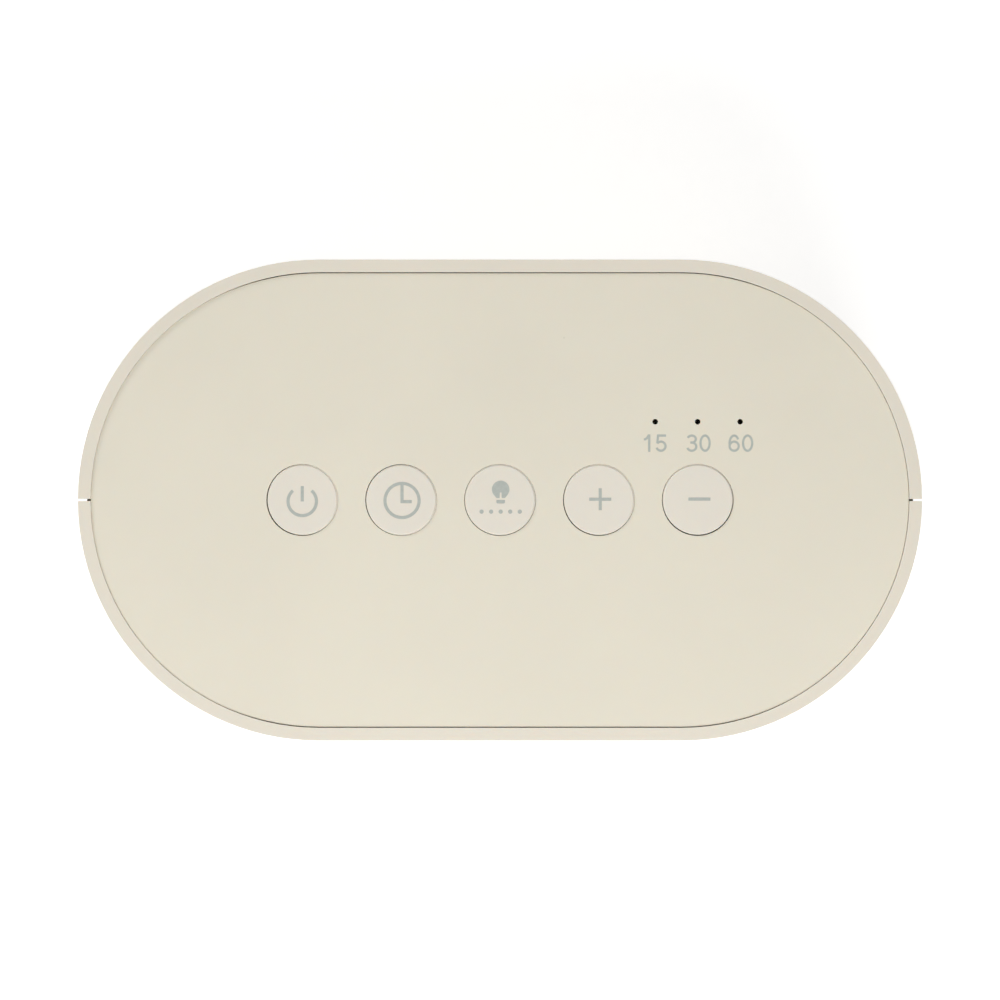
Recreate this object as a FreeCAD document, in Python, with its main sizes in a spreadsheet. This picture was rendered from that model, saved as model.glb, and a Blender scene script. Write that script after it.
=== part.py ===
# White noise sound machine: an obround moulded case with five push buttons on top.
# Millimetres, +Z up, +X to the right, the front faces -Y. The origin is on the surface
# that the feet stand on, at the middle of the case.

import FreeCAD, Part
import math
import os
import re

import Sketcher

doc = FreeCAD.newDocument("SoundMachine")
sheet = doc.addObject("Spreadsheet::Sheet", "Sizes")

# Driving dimensions. Each one is set by itself, and everything below is tied to them.
SIZES = [
    # the case
    ("case_width", 152.0),
    ("case_depth", 86.6),
    ("case_height", 76.0),
    ("wall", 2.3),
    ("foot_lift", 2.0),
    ("loose_gap", 0.3),
    # the seam between the two shells: a tongue on the inner half of the wall
    ("seam_gap", 0.36),
    ("tongue_thickness", 1.0),
    ("tongue_lap", 2.0),
    ("tongue_drop", 6.0),
    ("lap_gap", 0.15),
    # the top panel and the base plate
    ("panel_thickness", 2.2),
    ("panel_gap", 0.16),
    ("panel_recess", 0.3),
    ("base_thickness", 3.0),
    ("base_gap", 0.3),
    # the ribs that carry the panel, and the snap hooks
    ("rib_reach", 3.0),
    ("rib_thickness", 2.0),
    ("rib_stop", 4.0),
    ("end_rib_width", 5.0),
    ("hook_thickness", 1.2),
    ("hook_width", 8.0),
    ("hook_catch", 1.0),
    ("hook_gap", 0.2),
    ("hook_nose", 1.6),
    # screws from below into the shells
    ("boss_side", 7.0),
    ("boss_inset", 5.5),
    ("boss_length", 12.0),
    ("screw_radius", 1.45),
    ("screw_bite", 7.0),
    ("screw_tip_gap", 1.0),
    ("head_radius", 2.8),
    ("head_height", 1.4),
    ("head_sink", 1.6),
    ("thread_gap", 0.05),
    ("hole_gap", 0.3),
    # push buttons
    ("button_pitch", 17.8),
    ("button_radius", 6.25),
    ("button_gap", 0.2),
    ("button_proud", 0.25),
    ("button_skirt", 1.4),
    ("button_play", 0.15),
    ("stem_side", 3.6),
    ("key_width", 3.0),
    ("key_reach", 1.3),
    ("guide_thickness", 1.0),
    ("guide_length", 2.0),
    ("guide_gap", 0.25),
    ("guide_height", 2.6),
    # the control board under the panel
    ("board_thickness", 1.6),
    ("standoff_length", 9.5),
    ("standoff_side", 4.0),
    ("standoff_inset", 3.5),
    ("control_board_width", 96.0),
    ("control_board_depth", 31.0),
    ("control_board_centre", 5.0),
    ("control_hook_inset", 6.0),
    # tactile switches
    ("switch_side", 6.0),
    ("switch_height", 3.5),
    ("switch_well_depth", 2.4),
    ("plunger_side", 3.0),
    ("plunger_gap", 0.15),
    ("plunger_length", 3.1),
    ("plunger_stroke", 0.7),
    # timer lights in a shroud under their pinholes
    ("light_hole_radius", 0.5),
    ("light_pitch", 7.65),
    ("light_middle", 35.6),
    ("light_row", 14.1),
    ("light_length", 2.0),
    ("light_width", 1.3),
    ("light_height", 0.9),
    ("shroud_wall", 0.8),
    ("shroud_depth", 5.0),
    # the display behind its lens
    ("display_drop", 16.5),
    ("lens_margin", 3.7),
    ("lens_tall", 21.0),
    ("lens_thickness", 1.2),
    ("lens_corner", 3.0),
    ("lens_gap", 0.1),
    ("window_border", 7.0),
    ("window_tall", 15.6),
    ("digit_block_border", 1.9),
    ("digit_block_tall", 12.8),
    ("digit_block_depth", 7.0),
    ("display_board_border", 2.0),
    ("display_board_tall", 18.0),
    ("display_post_side", 3.0),
    # the slots and the speaker behind them
    ("slot_width", 1.8),
    ("slot_pitch", 3.8),
    ("slot_margin", 6.7),
    ("cloth_thickness", 0.4),
    ("cloth_margin", 2.0),
    ("gasket_thickness", 2.0),
    ("speaker_clearance", 0.85),
    ("speaker_rim", 3.5),
    ("frame_depth", 6.5),
    ("frame_wall", 1.0),
    ("surround_gap", 0.1),
    ("surround_setback", 1.0),
    ("surround_thickness", 0.5),
    ("surround_lap", 1.2),
    ("surround_width", 2.5),
    ("cone_depth", 2.8),
    ("cone_thickness", 0.6),
    ("magnet_radius", 11.0),
    ("magnet_depth", 7.5),
    # the main board on the base plate, with the power jack at its rear edge
    ("main_board_margin", 7.7),
    ("main_board_depth", 50.0),
    ("main_board_rear_gap", 2.4),
    ("main_standoff_length", 5.0),
    ("jack_axis_height", 6.5),
    ("jack_width", 9.0),
    ("jack_height", 11.0),
    ("jack_length", 13.2),
    ("jack_nose_radius", 4.0),
    ("jack_bore_radius", 2.9),
    ("jack_bore_depth", 9.5),
    ("jack_pin_radius", 1.05),
    ("jack_pin_length", 8.5),
    ("jack_hole_gap", 0.2),
    ("chip_length", 18.0),
    ("chip_width", 7.5),
    ("chip_height", 2.3),
    ("chip_forward", 6.0),
    ("capacitor_radius", 4.0),
    ("capacitor_height", 11.5),
    ("capacitor_back", 7.0),
    ("capacitor_inset", 8.0),
    ("socket_gap", 4.0),
    ("socket_height", 6.0),
    ("socket_depth", 4.5),
    ("socket_row", 5.5),
    ("socket_inset", 9.0),
    # leads inside the case
    ("ribbon_width", 10.0),
    ("ribbon_thickness", 0.7),
    ("ribbon_bow", 4.0),
    ("ribbon_bend", 6.0),
    ("lead_width", 2.6),
    ("lead_thickness", 1.3),
    ("lead_clearance", 1.0),
    # rubber feet
    ("foot_radius", 6.0),
    ("foot_place_across", 48.0),
    ("foot_place_along", 19.0),
]

for row, (word, number) in enumerate(SIZES, start=1):
    sheet.set("A%d" % row, word.replace("_", " "))
    sheet.set("B%d" % row, str(number))
    sheet.setAlias("B%d" % row, word)
doc.recompute()

# Counts
BUTTONS = ["power", "timer", "snooze", "plus", "minus"]
LIGHT_COUNT = 3
SLOT_COUNT = 7
CONE_SIDES = 24
SHANK_SIDES = 6

# Places and sizes worked out from the sheet
END_RADIUS = "(case_depth / 2)"
STRAIGHT = "((case_width - case_depth) / 2)"
INNER_RADIUS = "(case_depth / 2 - wall)"
BOSS_PLACE = "(case_depth / 2 - wall - boss_inset)"

PANEL_TOP = "(case_height - panel_recess)"
PANEL_UNDER = "(%s - panel_thickness)" % PANEL_TOP
RIB_UNDER = "(%s - rib_thickness)" % PANEL_UNDER
CONTROL_TOP = "(%s - standoff_length)" % PANEL_UNDER
CONTROL_UNDER = "(%s - board_thickness)" % CONTROL_TOP
HOOK_PLACE = "(%s - control_hook_inset)" % STRAIGHT

DISPLAY_LEVEL = "(case_height - display_drop)"
LENS_WIDTH = "(2 * (%s - lens_margin))" % STRAIGHT
WINDOW_WIDTH = "(%s - 2 * window_border)" % LENS_WIDTH
DIGIT_BLOCK_WIDTH = "(%s - 2 * digit_block_border)" % WINDOW_WIDTH
DISPLAY_BOARD_WIDTH = "(%s - 2 * display_board_border)" % LENS_WIDTH
DISPLAY_FRONT = "(digit_block_depth - %s)" % INNER_RADIUS
DISPLAY_BACK = "(%s + board_thickness)" % DISPLAY_FRONT
CABLE_LEVEL = "(%s - digit_block_tall / 2)" % DISPLAY_LEVEL

BASE_TOP = "(foot_lift + base_thickness)"
MAIN_UNDER = "(%s + main_standoff_length)" % BASE_TOP
MAIN_TOP = "(%s + board_thickness)" % MAIN_UNDER
MAIN_WIDTH = "(2 * (%s - main_board_margin))" % STRAIGHT
MAIN_MIDDLE = "(%s - main_board_rear_gap - main_board_depth / 2)" % INNER_RADIUS
SOCKET_PLACE = "(%s - main_board_depth / 2 + socket_row)" % MAIN_MIDDLE
SOCKET_TOP = "(%s + socket_height)" % MAIN_TOP
SOCKET_SPACING = "(%s / 2 - socket_inset)" % MAIN_WIDTH
JACK_HEIGHT = "(%s + jack_axis_height)" % MAIN_TOP

# the speaker fills the height between the base plate and the display board
SPEAKER_CEILING = "(%s - display_board_tall / 2)" % DISPLAY_LEVEL
SPEAKER_LEVEL = "(%s / 2 + %s / 2)" % (SPEAKER_CEILING, BASE_TOP)
HOOK_ROOM = "(hook_gap + hook_thickness + speaker_clearance)"
SPEAKER_SIDE = "(%s - %s - 2 * %s)" % (SPEAKER_CEILING, BASE_TOP, HOOK_ROOM)
CONE_OPENING = "(%s / 2 - speaker_rim)" % SPEAKER_SIDE
CONE_RADIUS = "(%s - surround_width)" % CONE_OPENING
SPEAKER_FRONT = "(cloth_thickness + gasket_thickness - %s)" % INNER_RADIUS
SPEAKER_BACK = "(%s + frame_depth)" % SPEAKER_FRONT
SLOT_LENGTH = "(2 * (%s - slot_margin))" % STRAIGHT


def tie(text):
    """Writes a size with the sheet's own words: wall * 2 becomes Sizes.wall * 2."""
    return re.sub(r"\b[a-z]\w*\b(?!\()", lambda word: "Sizes." + word.group(), str(text))


def size(text):
    """The number that a written size has now."""
    return float(sheet.evalExpression(tie(text)))


def new_body(label):
    body = doc.addObject("PartDesign::Body", "Body")
    body.Label = label
    return body


def origin_part(body, role):
    return [item for item in body.Origin.OriginFeatures if item.Role == role][0]


def new_sketch(body, plane, height="0"):
    """A sketch on XY (seen from above), XZ (seen from the front) or YZ (seen from the right)."""
    sketch = body.newObject("Sketcher::SketchObject", "Sketch")
    sketch.AttachmentSupport = (origin_part(body, plane + "_Plane"), [""])
    sketch.MapMode = "FlatFace"
    sketch.setExpression("AttachmentOffset.Base.z", tie(height))
    return sketch


def hold(sketch, kind, *places_and_size):
    """One dimension of a sketch, tied to the sheet. The size comes last."""
    text = places_and_size[-1]
    index = sketch.addConstraint(Sketcher.Constraint(kind, *places_and_size[:-1], size(text)))
    sketch.setExpression("Constraints[%d]" % index, tie(text))


def hold_point(sketch, curve, end, across, up):
    hold(sketch, "DistanceX", -1, 1, curve, end, across)
    hold(sketch, "DistanceY", -1, 1, curve, end, up)


def join(sketch, curves):
    """Closes a ring of curves, each one's end to the next one's start."""
    for index, curve in enumerate(curves):
        following = curves[(index + 1) % len(curves)]
        sketch.addConstraint(Sketcher.Constraint("Coincident", curve, 2, following, 1))


def add_line(sketch, start, end):
    first = FreeCAD.Vector(size(start[0]), size(start[1]), 0)
    second = FreeCAD.Vector(size(end[0]), size(end[1]), 0)
    return sketch.addGeometry(Part.LineSegment(first, second))


def add_arc(sketch, across, up, radius, start_degrees, end_degrees):
    """A counter-clockwise arc whose centre and radius are held."""
    centre = FreeCAD.Vector(size(across), size(up), 0)
    circle = Part.Circle(centre, FreeCAD.Vector(0, 0, 1), size(radius))
    start = math.radians(start_degrees)
    end = math.radians(end_degrees)
    curve = sketch.addGeometry(Part.ArcOfCircle(circle, start, end))
    hold_point(sketch, curve, 3, across, up)
    hold(sketch, "Radius", curve, radius)
    return curve


def add_circle(sketch, across, up, radius):
    centre = FreeCAD.Vector(size(across), size(up), 0)
    curve = sketch.addGeometry(Part.Circle(centre, FreeCAD.Vector(0, 0, 1), size(radius)))
    hold_point(sketch, curve, 3, across, up)
    hold(sketch, "Radius", curve, radius)


def add_polygon(sketch, points):
    """A closed outline of straight lines, with each corner held."""
    count = len(points)
    curves = [add_line(sketch, points[index], points[(index + 1) % count]) for index in range(count)]
    join(sketch, curves)
    for curve, point in zip(curves, points):
        hold_point(sketch, curve, 1, point[0], point[1])


def add_even_polygon(sketch, across, up, radius, sides):
    """A closed outline of equal sides, with its corners on a circle."""
    turns = [360 * corner / sides for corner in range(sides)]
    points = [("%s + %s * cos(%g)" % (across, radius, turn), "%s + %s * sin(%g)" % (up, radius, turn))
              for turn in turns]
    add_polygon(sketch, points)


def add_rectangle(sketch, across, up, width, height):
    left = "%s - %s / 2" % (across, width)
    right = "%s + %s / 2" % (across, width)
    low = "%s - %s / 2" % (up, height)
    high = "%s + %s / 2" % (up, height)
    add_polygon(sketch, [(left, low), (right, low), (right, high), (left, high)])


def add_rounded_rectangle(sketch, across, up, width, height, corner):
    """Four quarter arcs, joined by four lines."""
    arcs = []
    for turn, (side, level) in enumerate([(1, 1), (-1, 1), (-1, -1), (1, -1)]):
        middle_x = "%s + %d * (%s / 2 - %s)" % (across, side, width, corner)
        middle_y = "%s + %d * (%s / 2 - %s)" % (up, level, height, corner)
        arcs.append(add_arc(sketch, middle_x, middle_y, corner, 90 * turn, 90 * turn + 90))
    join_arcs(sketch, arcs, ["Horizontal", "Vertical"])


def join_arcs(sketch, arcs, squares):
    """Joins arcs by lines that leave and meet them squarely."""
    ring = []
    for turn, arc in enumerate(arcs):
        following = arcs[(turn + 1) % len(arcs)]
        geometry = sketch.Geometry
        leaving = geometry[arc].EndPoint
        meeting = geometry[following].StartPoint
        line = sketch.addGeometry(Part.LineSegment(leaving, meeting))
        ring += [arc, line]
        sketch.addConstraint(Sketcher.Constraint(squares[turn % len(squares)], arc, 1, arc, 3))
        sketch.addConstraint(Sketcher.Constraint(squares[(turn + 1) % len(squares)], arc, 2, arc, 3))
    join(sketch, ring)


def add_obround(sketch, across, up, half_straight, radius):
    """Two half circles joined by two straight sides."""
    right = add_arc(sketch, "%s + %s" % (across, half_straight), up, radius, -90, 90)
    left = add_arc(sketch, "%s - %s" % (across, half_straight), up, radius, 90, 270)
    join_arcs(sketch, [right, left], ["Vertical", "Vertical"])


def add_half_ring(sketch, side, outer, inner, end):
    """Half of an obround wall, in front of (side -1) or behind (side 1) the line Y = end."""
    curves = []
    lift = "%d * %s" % (side, end)
    for radius in (outer, inner):
        dip = math.degrees(math.asin(size(end) / size(radius)))
        spans = [(-90, -dip), (180 + dip, 270)] if side < 0 else [(dip, 90), (90, 180 - dip)]
        for sign, (start, stop) in zip((1, -1), spans):
            arc = add_arc(sketch, "%d * %s" % (sign, STRAIGHT), "0", radius, start, stop)
            flat_end, cut_end = (1, 2) if sign * side < 0 else (2, 1)
            sketch.addConstraint(Sketcher.Constraint("Vertical", arc, flat_end, arc, 3))
            hold(sketch, "DistanceY", -1, 1, arc, cut_end, lift)
            curves.append((arc, flat_end, cut_end))
    outer_right, outer_left, inner_right, inner_left = curves
    pairs = [
        (outer_right, outer_left, 1),
        (inner_right, inner_left, 1),
        (outer_right, inner_right, 2),
        (outer_left, inner_left, 2),
    ]
    for first, second, which in pairs:
        start = sketch.getPoint(first[0], first[which])
        stop = sketch.getPoint(second[0], second[which])
        line = sketch.addGeometry(Part.LineSegment(start, stop))
        sketch.addConstraint(Sketcher.Constraint("Coincident", line, 1, first[0], first[which]))
        sketch.addConstraint(Sketcher.Constraint("Coincident", line, 2, second[0], second[which]))


def shape_from(body, kind, sketch, **sizes):
    """A pad, pocket, revolution or groove on a sketch. Length or other sizes are written sizes."""
    feature = body.newObject("PartDesign::" + kind, kind)
    feature.Profile = sketch
    for name, value in sizes.items():
        if isinstance(value, (bool, tuple)):
            setattr(feature, name, value)
        else:
            feature.setExpression(name, tie(value))
    sketch.Visibility = False
    body.Tip = feature
    return feature


def pad(body, sketch, length, down=False):
    return shape_from(body, "Pad", sketch, Length=length, Reversed=down)


def pocket(body, sketch, depth, forward=False):
    """Cuts against the sketch's normal, or along it where forward is set, and must remove material."""
    doc.recompute()
    before = body.Shape.Volume
    cut = shape_from(body, "Pocket", sketch, Length=depth, Reversed=forward)
    doc.recompute()
    if body.Shape.Volume >= before:
        raise ValueError("%s: a pocket removes nothing" % body.Label)
    return cut


def place_body(body, across="0", along="0", up="0"):
    for axis, text in (("x", across), ("y", along), ("z", up)):
        body.setExpression("Placement.Base." + axis, tie(text))


def snap_hook(body, plane, middle, root, catch, leg, side, turned=False):
    """A moulded hook: it leaves its surface at root, its leg stands beyond the line leg on the far
    side of what it holds, and its nose reaches back over that by hook_catch, past the height catch."""
    sketch = new_sketch(body, plane, "%s - hook_width / 2" % middle)
    rising = 1 if size(catch) > size(root) else -1
    near = "(%s + %d * hook_gap)" % (leg, side)
    far = "(%s + %d * (hook_gap + hook_thickness))" % (leg, side)
    nose = "(%s - %d * hook_catch)" % (leg, side)
    under = "(%s + %d * hook_gap)" % (catch, rising)
    tip = "(%s + %d * (hook_gap + hook_nose))" % (catch, rising)
    outline = [(far, root), (near, root), (near, under), (nose, under), (near, tip), (far, tip)]
    if turned:
        outline = [(up, across) for across, up in outline]
    add_polygon(sketch, outline)
    pad(body, sketch, "hook_width")


# The two shells of the case

def boss_places(side):
    """The two screw places of a shell, where its straight side ends."""
    return [("%d * %s" % (sign, STRAIGHT), "%d * %s" % (side, BOSS_PLACE)) for sign in (-1, 1)]


def make_shell(label, side):
    """The wall, the ribs that carry the panel, and the bosses for the base screws."""
    body = new_body(label)
    outline = new_sketch(body, "XY", "foot_lift")
    add_half_ring(outline, side, END_RADIUS, INNER_RADIUS, "(seam_gap / 2)")
    pad(body, outline, "case_height - foot_lift")
    half_wall = "(%s + wall / 2)" % INNER_RADIUS
    ribs = new_sketch(body, "XY", RIB_UNDER)
    long_middle = "%d * (%s - rib_reach / 2 + wall / 4)" % (side, INNER_RADIUS)
    add_rectangle(ribs, "0", long_middle, "(2 * (%s - rib_stop))" % STRAIGHT, "(rib_reach + wall / 2)")
    for sign in (-1, 1):
        across = "%d * (%s + %s - rib_reach / 2 + wall / 8)" % (sign, STRAIGHT, INNER_RADIUS)
        along = "%d * (rib_stop + end_rib_width / 2)" % side
        add_rectangle(ribs, across, along, "(rib_reach + wall / 4)", "end_rib_width")
    pad(body, ribs, "rib_thickness")
    bosses = new_sketch(body, "XY", BASE_TOP)
    depth = "(%s - %s + boss_side / 2)" % (half_wall, BOSS_PLACE)
    for across, along in boss_places(side):
        middle = "%d * (%s - %s / 2)" % (side, half_wall, depth)
        add_rectangle(bosses, across, middle, "boss_side", depth)
    pad(body, bosses, "boss_length")
    pilots = new_sketch(body, "XY", BASE_TOP)
    for across, along in boss_places(side):
        add_even_polygon(pilots, across, along, "(screw_radius + thread_gap)", SHANK_SIDES)
    pocket(body, pilots, "screw_bite + screw_tip_gap", forward=True)
    return body


def make_front_shell():
    body = make_shell("front_shell", -1)
    # the tongue that laps behind the rear shell at both ends
    tongue = new_sketch(body, "XY", "foot_lift")
    add_half_ring(tongue, -1, "(%s + tongue_thickness)" % INNER_RADIUS, INNER_RADIUS, "(-tongue_lap)")
    pad(body, tongue, "case_height - tongue_drop - foot_lift")
    # two posts keep the display board off the wall; hooks hold it and the speaker by their edges
    posts = new_sketch(body, "XZ", INNER_RADIUS)
    for sign in (-1, 1):
        across = "%d * (%s / 2 - display_post_side / 2)" % (sign, DISPLAY_BOARD_WIDTH)
        add_rectangle(posts, across, DISPLAY_LEVEL, "display_post_side", "display_post_side")
    pad(body, posts, "digit_block_depth", down=True)
    wall_face = "(wall - %s)" % END_RADIUS
    for sign in (-1, 1):
        board_edge = "%d * %s / 2" % (sign, DISPLAY_BOARD_WIDTH)
        snap_hook(body, "XY", DISPLAY_LEVEL, wall_face, DISPLAY_BACK, board_edge, sign)
        frame_edge = "(%s + %d * %s / 2)" % (SPEAKER_LEVEL, sign, SPEAKER_SIDE)
        snap_hook(body, "YZ", "0", wall_face, SPEAKER_BACK, frame_edge, sign, turned=True)
    # the lens pocket, with a smaller window through the rest of the wall
    lens_seat = new_sketch(body, "XZ", END_RADIUS)
    add_rounded_rectangle(lens_seat, "0", DISPLAY_LEVEL, LENS_WIDTH, "lens_tall", "lens_corner")
    pocket(body, lens_seat, "lens_thickness")
    window = new_sketch(body, "XZ", END_RADIUS)
    add_rectangle(window, "0", DISPLAY_LEVEL, WINDOW_WIDTH, "window_tall")
    pocket(body, window, "wall")
    # the lowest slot, repeated up the front
    slot = new_sketch(body, "XZ", END_RADIUS)
    lowest = "(%s - %g * slot_pitch)" % (SPEAKER_LEVEL, (SLOT_COUNT - 1) / 2)
    add_obround(slot, "0", lowest, "(%s / 2 - slot_width / 2)" % SLOT_LENGTH, "(slot_width / 2)")
    slot_cut = pocket(body, slot, "wall")
    slots = body.newObject("PartDesign::LinearPattern", "LinearPattern")
    slots.Originals = [slot_cut]
    slots.Direction = (slot, ["V_Axis"])
    slots.Mode = "Spacing"
    slots.Occurrences = SLOT_COUNT
    slots.setExpression("Offset", tie("slot_pitch"))
    body.Tip = slots


def make_rear_shell():
    body = make_shell("rear_shell", 1)
    # the rebate that takes the front shell's tongue, open below
    rebate = new_sketch(body, "XY", "case_height - tongue_drop + lap_gap")
    width = "(2 * (tongue_thickness + lap_gap))"
    for sign in (-1, 1):
        middle = "%d * (%s + %s)" % (sign, STRAIGHT, INNER_RADIUS)
        add_rectangle(rebate, middle, "0", width, "(2 * (tongue_lap + lap_gap))")
    pocket(body, rebate, "case_height")
    # the round hole for the nose of the power jack
    jack_hole = new_sketch(body, "XZ", "-" + END_RADIUS)
    add_circle(jack_hole, "0", JACK_HEIGHT, "jack_nose_radius + jack_hole_gap")
    pocket(body, jack_hole, "wall", forward=True)


# The panel on top and the plate below

def button_place(index):
    return "(%g * button_pitch)" % (index - (len(BUTTONS) - 1) / 2)


def light_place(index):
    return "(light_middle + %g * light_pitch)" % (index - (LIGHT_COUNT - 1) / 2)


def board_corners(width, depth, centre, inset):
    """The four corner places of a board, as far in from its edges as inset."""
    places = []
    for x in (-1, 1):
        for y in (-1, 1):
            across = "%d * (%s / 2 - %s)" % (x, width, inset)
            along = "(%s + %d * (%s / 2 - %s))" % (centre, y, depth, inset)
            places.append((across, along))
    return places


def make_top_panel():
    body = new_body("top_panel")
    plate = new_sketch(body, "XY", PANEL_UNDER)
    add_obround(plate, "0", "0", STRAIGHT, "(%s - panel_gap)" % INNER_RADIUS)
    pad(body, plate, "panel_thickness")
    # two ribs each side of a button's key, so that the cap can't turn
    guides = new_sketch(body, "XY", PANEL_UNDER)
    for index in range(len(BUTTONS)):
        for x in (-1, 1):
            for y in (-1, 1):
                aside = "(key_width / 2 + guide_gap + guide_thickness / 2)"
                across = "%s + %d * %s" % (button_place(index), x, aside)
                along = "%d * (button_radius + button_gap + guide_length / 2)" % y
                add_rectangle(guides, across, along, "guide_thickness", "guide_length")
    pad(body, guides, "guide_height", down=True)
    # a shroud with a cell for each timer light
    shroud = new_sketch(body, "XY", PANEL_UNDER)
    add_rectangle(shroud, "light_middle", "light_row", "(%d * light_pitch + shroud_wall)" % LIGHT_COUNT,
                  "(shroud_depth + 2 * shroud_wall)")
    for index in range(LIGHT_COUNT):
        add_rectangle(shroud, light_place(index), "light_row", "(light_pitch - shroud_wall)", "shroud_depth")
    pad(body, shroud, "standoff_length - loose_gap", down=True)
    standoffs = new_sketch(body, "XY", PANEL_UNDER)
    for across, along in board_corners("control_board_width", "control_board_depth", "control_board_centre",
                                       "standoff_inset"):
        add_rectangle(standoffs, across, along, "standoff_side", "standoff_side")
    pad(body, standoffs, "standoff_length", down=True)
    # hooks that catch under the shells' long ribs, and hooks that hold the control board
    hook_place = "%d * " + HOOK_PLACE
    for side in (-1, 1):
        for sign in (-1, 1):
            rib_edge = "%d * (%s - rib_reach)" % (side, INNER_RADIUS)
            snap_hook(body, "YZ", hook_place % sign, PANEL_UNDER, RIB_UNDER, rib_edge, -side)
            board_edge = "(control_board_centre + %d * control_board_depth / 2)" % side
            snap_hook(body, "YZ", hook_place % sign, PANEL_UNDER, CONTROL_UNDER, board_edge, side)
    openings = new_sketch(body, "XY", PANEL_TOP)
    for index in range(len(BUTTONS)):
        add_circle(openings, button_place(index), "0", "button_radius + button_gap")
    for index in range(LIGHT_COUNT):
        add_circle(openings, light_place(index), "light_row", "light_hole_radius")
    pocket(body, openings, "panel_thickness")


def foot_places():
    return [("%d * foot_place_across" % x, "%d * foot_place_along" % y) for x in (-1, 1) for y in (-1, 1)]


def make_base_plate():
    body = new_body("base_plate")
    plate = new_sketch(body, "XY", "foot_lift")
    add_obround(plate, "0", "0", STRAIGHT, "(%s - base_gap)" % INNER_RADIUS)
    pad(body, plate, "base_thickness")
    standoffs = new_sketch(body, "XY", BASE_TOP)
    for across, along in board_corners(MAIN_WIDTH, "main_board_depth", MAIN_MIDDLE, "standoff_inset"):
        add_rectangle(standoffs, across, along, "standoff_side", "standoff_side")
    pad(body, standoffs, "main_standoff_length")
    for sign in (-1, 1):
        board_edge = "%d * %s / 2" % (sign, MAIN_WIDTH)
        snap_hook(body, "XZ", "-" + MAIN_MIDDLE, BASE_TOP, MAIN_TOP, board_edge, sign)
    screw_holes = new_sketch(body, "XY", "foot_lift")
    for across, along in boss_places(-1) + boss_places(1):
        add_even_polygon(screw_holes, across, along, "(screw_radius + hole_gap)", SHANK_SIDES)
    pocket(body, screw_holes, "base_thickness", forward=True)
    head_sinks = new_sketch(body, "XY", "foot_lift")
    for across, along in boss_places(-1) + boss_places(1):
        add_circle(head_sinks, across, along, "head_radius + hole_gap")
    pocket(body, head_sinks, "head_sink", forward=True)


def make_base_screws():
    """A flat head in its sink, on a six-sided shank that bites into the boss above."""
    body = new_body("base_screws")
    shanks = new_sketch(body, "XY", "foot_lift + head_sink")
    heads = new_sketch(body, "XY", "foot_lift + head_sink")
    for across, along in boss_places(-1) + boss_places(1):
        add_even_polygon(shanks, across, along, "screw_radius", SHANK_SIDES)
        add_circle(heads, across, along, "head_radius")
    pad(body, shanks, "base_thickness - head_sink + screw_bite")
    pad(body, heads, "head_height", down=True)


def make_feet():
    body = new_body("rubber_feet")
    pads = new_sketch(body, "XY")
    for across, along in foot_places():
        add_circle(pads, across, along, "foot_radius")
    pad(body, pads, "foot_lift")


# Push buttons, their switches and the board that carries them

def make_button(index, word):
    """A cap with two keys and a stem, made on the plane of the panel's underside."""
    body = new_body(word + "_button")
    place_body(body, button_place(index), "0", PANEL_UNDER)
    cap = new_sketch(body, "XY", "panel_thickness + button_proud")
    add_circle(cap, "0", "0", "button_radius")
    pad(body, cap, "panel_thickness + button_proud + button_play + button_skirt", down=True)
    keys = new_sketch(body, "XY", "-button_play")
    add_rectangle(keys, "0", "0", "key_width", "(2 * (button_radius + key_reach))")
    pad(body, keys, "button_skirt", down=True)
    stem = new_sketch(body, "XY", "-button_play")
    add_rectangle(stem, "0", "0", "stem_side", "stem_side")
    pad(body, stem, "standoff_length - button_play - switch_height + switch_well_depth - plunger_stroke - "
        "plunger_length", down=True)


def make_plunger(index, word):
    """The switch's moving pin, from inside its well up to the cap's stem."""
    body = new_body(word + "_plunger")
    place_body(body, button_place(index), "0", CONTROL_TOP)
    pin = new_sketch(body, "XY", "switch_height - switch_well_depth + plunger_stroke")
    add_rectangle(pin, "0", "0", "plunger_side", "plunger_side")
    pad(body, pin, "plunger_length")


def make_switches():
    body = new_body("tact_switches")
    blocks = new_sketch(body, "XY", CONTROL_TOP)
    wells = new_sketch(body, "XY", CONTROL_TOP + " + switch_height")
    well_side = "(plunger_side + 2 * plunger_gap)"
    for index in range(len(BUTTONS)):
        add_rectangle(blocks, button_place(index), "0", "switch_side", "switch_side")
        add_rectangle(wells, button_place(index), "0", well_side, well_side)
    pad(body, blocks, "switch_height")
    pocket(body, wells, "switch_well_depth")


def make_timer_lights():
    body = new_body("timer_lights")
    lights = new_sketch(body, "XY", CONTROL_TOP)
    for index in range(LIGHT_COUNT):
        add_rectangle(lights, light_place(index), "light_row", "light_length", "light_width")
    pad(body, lights, "light_height")


def make_plate(label, plane, height, across, up, width, tall, thickness, down=False):
    """A plain rectangular board or block."""
    body = new_body(label)
    outline = new_sketch(body, plane, height)
    add_rectangle(outline, across, up, width, tall)
    pad(body, outline, thickness, down)


def make_control_board():
    make_plate("control_board", "XY", CONTROL_UNDER, "0", "control_board_centre", "control_board_width",
               "control_board_depth", "board_thickness")


# The display behind the flush lens

def make_display():
    lens = new_body("display_lens")
    face = new_sketch(lens, "XZ", END_RADIUS)
    add_rounded_rectangle(face, "0", DISPLAY_LEVEL, "(%s - 2 * lens_gap)" % LENS_WIDTH,
                          "(lens_tall - 2 * lens_gap)", "(lens_corner - lens_gap)")
    pad(lens, face, "lens_thickness", down=True)
    make_plate("display_module", "XZ", INNER_RADIUS, "0", DISPLAY_LEVEL, DIGIT_BLOCK_WIDTH,
               "digit_block_tall", "digit_block_depth", down=True)
    make_plate("display_board", "XZ", "-" + DISPLAY_FRONT, "0", DISPLAY_LEVEL, DISPLAY_BOARD_WIDTH,
               "display_board_tall", "board_thickness", down=True)


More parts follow.
